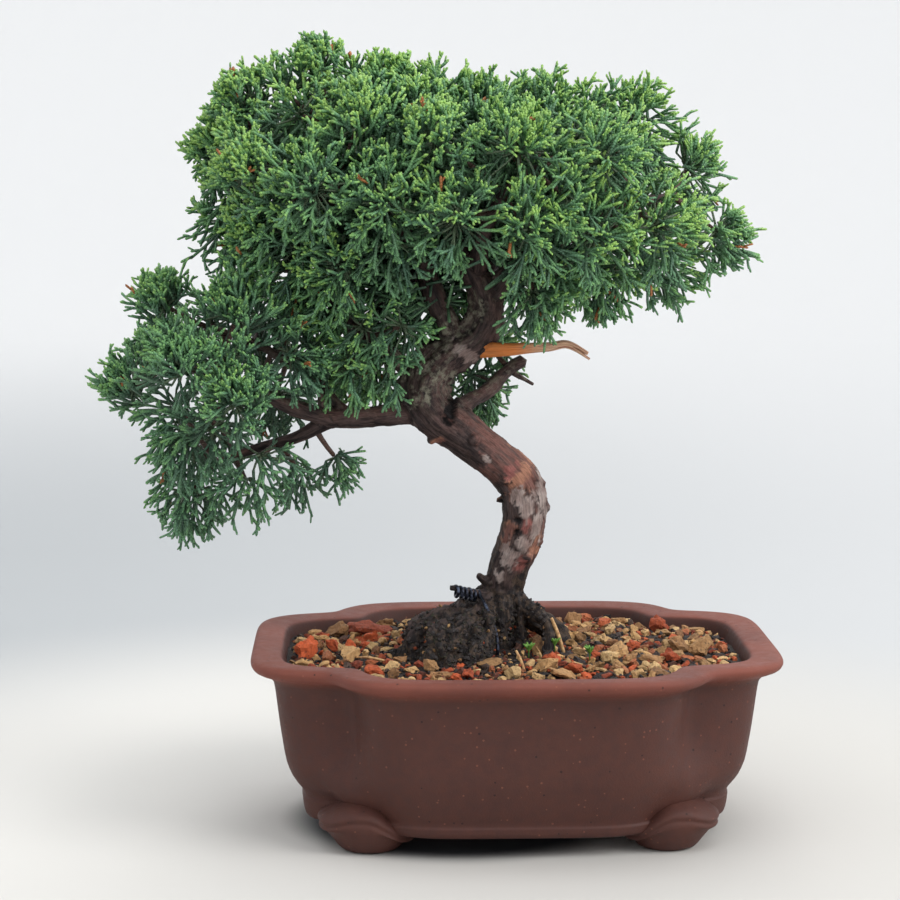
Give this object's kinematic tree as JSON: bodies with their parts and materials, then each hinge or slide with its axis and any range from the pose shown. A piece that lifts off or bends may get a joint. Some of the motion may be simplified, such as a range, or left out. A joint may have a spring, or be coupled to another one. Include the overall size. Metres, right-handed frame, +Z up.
{
  "type": "chinese juniper bonsai in a clay pot",
  "caption": "Miniature juniper with a bent trunk, roots and leafy tufts on branches, standing in gritty soil in a lobed, footed clay pot.",
  "frame": {"origin": "centre of the bounding box's bottom, on the surface that the pot's feet stand on", "axes": "+Z up, +X to the right along the pot's long side, +Y away from the front"},
  "size_m": [0.267, 0.1634, 0.3121],
  "materials": {
    "clay": "unglazed, matt, reddish brown",
    "grit": "dark loose grit with tan, red and grey gravel",
    "bark": "peeling red-brown and grey juniper bark, with one stripped orange snag",
    "foliage": "green scale-leaf cords with yellow-green tips",
    "tie_wire": "black, satin",
    "netting": "black moulded mesh"
  },
  "bodies": {
    "root": {"pot": "clay", "drain_netting_left": "netting", "drain_netting_right": "netting", "soil": "grit", "trunk": "bark", "tie_wire": "tie_wire", "foliage_crown_left_1": "foliage", "foliage_crown_left_2": "foliage", "foliage_crown_left_3": "foliage", "foliage_crown_left_4": "foliage", "foliage_crown_left_5": "foliage", "foliage_crown_top_1": "foliage", "foliage_crown_top_2": "foliage", "foliage_crown_top_3": "foliage", "foliage_crown_top_4": "foliage", "foliage_crown_top_5": "foliage", "foliage_crown_top_6": "foliage", "foliage_crown_top_7": "foliage", "foliage_crown_top_8": "foliage", "foliage_crown_top_9": "foliage", "foliage_crown_top_10": "foliage", "foliage_crown_right_1": "foliage", "foliage_crown_right_2": "foliage", "foliage_crown_right_3": "foliage", "foliage_crown_right_4": "foliage", "foliage_crown_right_5": "foliage", "foliage_crown_right_6": "foliage", "foliage_crown_right_7": "foliage", "foliage_crown_right_8": "foliage", "foliage_crown_front_1": "foliage", "foliage_crown_front_2": "foliage", "foliage_crown_front_3": "foliage", "foliage_crown_front_4": "foliage", "foliage_crown_front_5": "foliage", "foliage_crown_front_6": "foliage", "foliage_crown_low_1": "foliage", "foliage_crown_low_2": "foliage", "foliage_crown_low_3": "foliage", "foliage_crown_low_4": "foliage", "foliage_crown_low_5": "foliage", "foliage_crown_low_6": "foliage", "foliage_crown_low_7": "foliage", "foliage_crown_low_8": "foliage", "foliage_crown_low_9": "foliage", "foliage_crown_low_10": "foliage", "foliage_pad_left_1": "foliage", "foliage_pad_left_2": "foliage", "foliage_pad_left_3": "foliage", "foliage_pad_left_4": "foliage", "foliage_pad_left_5": "foliage", "foliage_pad_left_6": "foliage", "foliage_pad_left_7": "foliage", "foliage_pad_left_8": "foliage", "foliage_pad_left_9": "foliage", "foliage_pad_right_1": "foliage", "foliage_pad_right_2": "foliage", "foliage_pad_right_3": "foliage", "foliage_pad_right_4": "foliage", "foliage_pad_right_5": "foliage", "foliage_pad_right_6": "foliage"}
  },
  "joints": []
}
